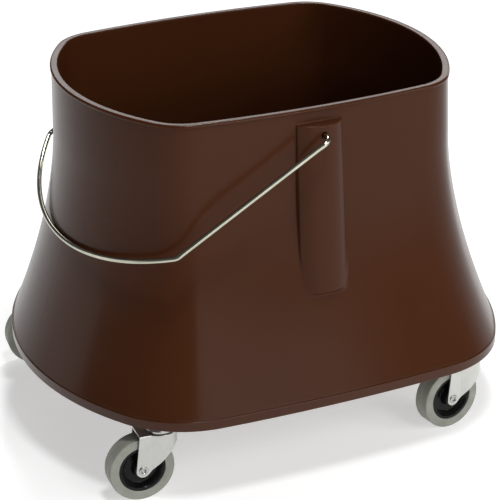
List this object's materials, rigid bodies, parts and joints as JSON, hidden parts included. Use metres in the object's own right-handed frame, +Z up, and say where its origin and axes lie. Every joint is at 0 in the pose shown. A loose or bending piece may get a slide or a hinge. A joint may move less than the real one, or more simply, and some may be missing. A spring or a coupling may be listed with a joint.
{
  "type": "wash bucket",
  "caption": "Oblong flared wash bucket on swivel casters, with a stepped band round its base and a wire bail pivoting in a pilaster on each long wall.",
  "frame": {"origin": "on the floor under the middle of the bucket", "axes": "+X along the bucket's length, +Y across it from the long wall nearest the viewer to the far one, +Z up; the bail rests against the -X end"},
  "size_m": [0.5818, 0.4868, 0.43],
  "materials": {
    "brown_moulding": "satin polyethylene",
    "brown_pan": "satin polyethylene",
    "bail_wire": "drawn wire, zinc plated",
    "zinc_sheet": "bright zinc plated sheet",
    "plated_steel": "zinc plated",
    "ball_steel": "polished",
    "black_moulding": "moulded polypropylene",
    "grey_tread": "smooth non-marking rubber"
  },
  "bodies": {
    "bucket": {"body_shell": "brown_moulding", "base_pan": "brown_pan", "front_left_socket_sleeve": "plated_steel", "front_left_stem": "plated_steel", "front_left_grip_ring": "plated_steel", "front_left_race_cap": "plated_steel", "front_right_socket_sleeve": "plated_steel", "front_right_stem": "plated_steel", "front_right_grip_ring": "plated_steel", "front_right_race_cap": "plated_steel", "rear_left_socket_sleeve": "plated_steel", "rear_left_stem": "plated_steel", "rear_left_grip_ring": "plated_steel", "rear_left_race_cap": "plated_steel", "rear_right_socket_sleeve": "plated_steel", "rear_right_stem": "plated_steel", "rear_right_grip_ring": "plated_steel", "rear_right_race_cap": "plated_steel"},
    "bail": {"bail": "bail_wire"},
    "front_left_caster": {"front_left_fork": "zinc_sheet", "front_left_swivel_balls": "ball_steel", "front_left_axle_rivet": "plated_steel", "front_left_axle_bushing": "plated_steel"},
    "front_left_wheel": {"front_left_wheel_core": "black_moulding", "front_left_wheel_tread": "grey_tread"},
    "front_right_caster": {"front_right_fork": "zinc_sheet", "front_right_swivel_balls": "ball_steel", "front_right_axle_rivet": "plated_steel", "front_right_axle_bushing": "plated_steel"},
    "front_right_wheel": {"front_right_wheel_core": "black_moulding", "front_right_wheel_tread": "grey_tread"},
    "rear_left_caster": {"rear_left_fork": "zinc_sheet", "rear_left_swivel_balls": "ball_steel", "rear_left_axle_rivet": "plated_steel", "rear_left_axle_bushing": "plated_steel"},
    "rear_left_wheel": {"rear_left_wheel_core": "black_moulding", "rear_left_wheel_tread": "grey_tread"},
    "rear_right_caster": {"rear_right_fork": "zinc_sheet", "rear_right_swivel_balls": "ball_steel", "rear_right_axle_rivet": "plated_steel", "rear_right_axle_bushing": "plated_steel"},
    "rear_right_wheel": {"rear_right_wheel_core": "black_moulding", "rear_right_wheel_tread": "grey_tread"}
  },
  "joints": [
    {"name": "bail_swing", "type": "hinge", "parent": "bucket", "child": "bail", "pos_m": [0, 0, 0.403], "axis": [0, 1, 0], "range_deg": [0, 242]},
    {"name": "front_left_swivel", "type": "hinge", "parent": "bucket", "child": "front_left_caster", "pos_m": [-0.1955, -0.1825, 0.0885], "axis": [0, 0, 1], "continuous": true},
    {"name": "front_left_roll", "type": "hinge", "parent": "front_left_caster", "child": "front_left_wheel", "pos_m": [-0.22107, -0.18125, 0.0381], "axis": [0.0488, 0.9988, 0], "continuous": true},
    {"name": "front_right_swivel", "type": "hinge", "parent": "bucket", "child": "front_right_caster", "pos_m": [0.1955, -0.1825, 0.0885], "axis": [0, 0, 1], "continuous": true},
    {"name": "front_right_roll", "type": "hinge", "parent": "front_right_caster", "child": "front_right_wheel", "pos_m": [0.17016, -0.18611, 0.0381], "axis": [-0.1409, 0.99, 0], "continuous": true},
    {"name": "rear_left_swivel", "type": "hinge", "parent": "bucket", "child": "rear_left_caster", "pos_m": [-0.1955, 0.1825, 0.0885], "axis": [0, 0, 1], "continuous": true},
    {"name": "rear_left_roll", "type": "hinge", "parent": "rear_left_caster", "child": "rear_left_wheel", "pos_m": [-0.22095, 0.18527, 0.0381], "axis": [0.108, 0.9942, 0], "continuous": true},
    {"name": "rear_right_swivel", "type": "hinge", "parent": "bucket", "child": "rear_right_caster", "pos_m": [0.1955, 0.1825, 0.0885], "axis": [0, 0, 1], "continuous": true},
    {"name": "rear_right_roll", "type": "hinge", "parent": "rear_right_caster", "child": "rear_right_wheel", "pos_m": [0.16994, 0.18116, 0.0381], "axis": [-0.0523, 0.9986, 0], "continuous": true}
  ]
}
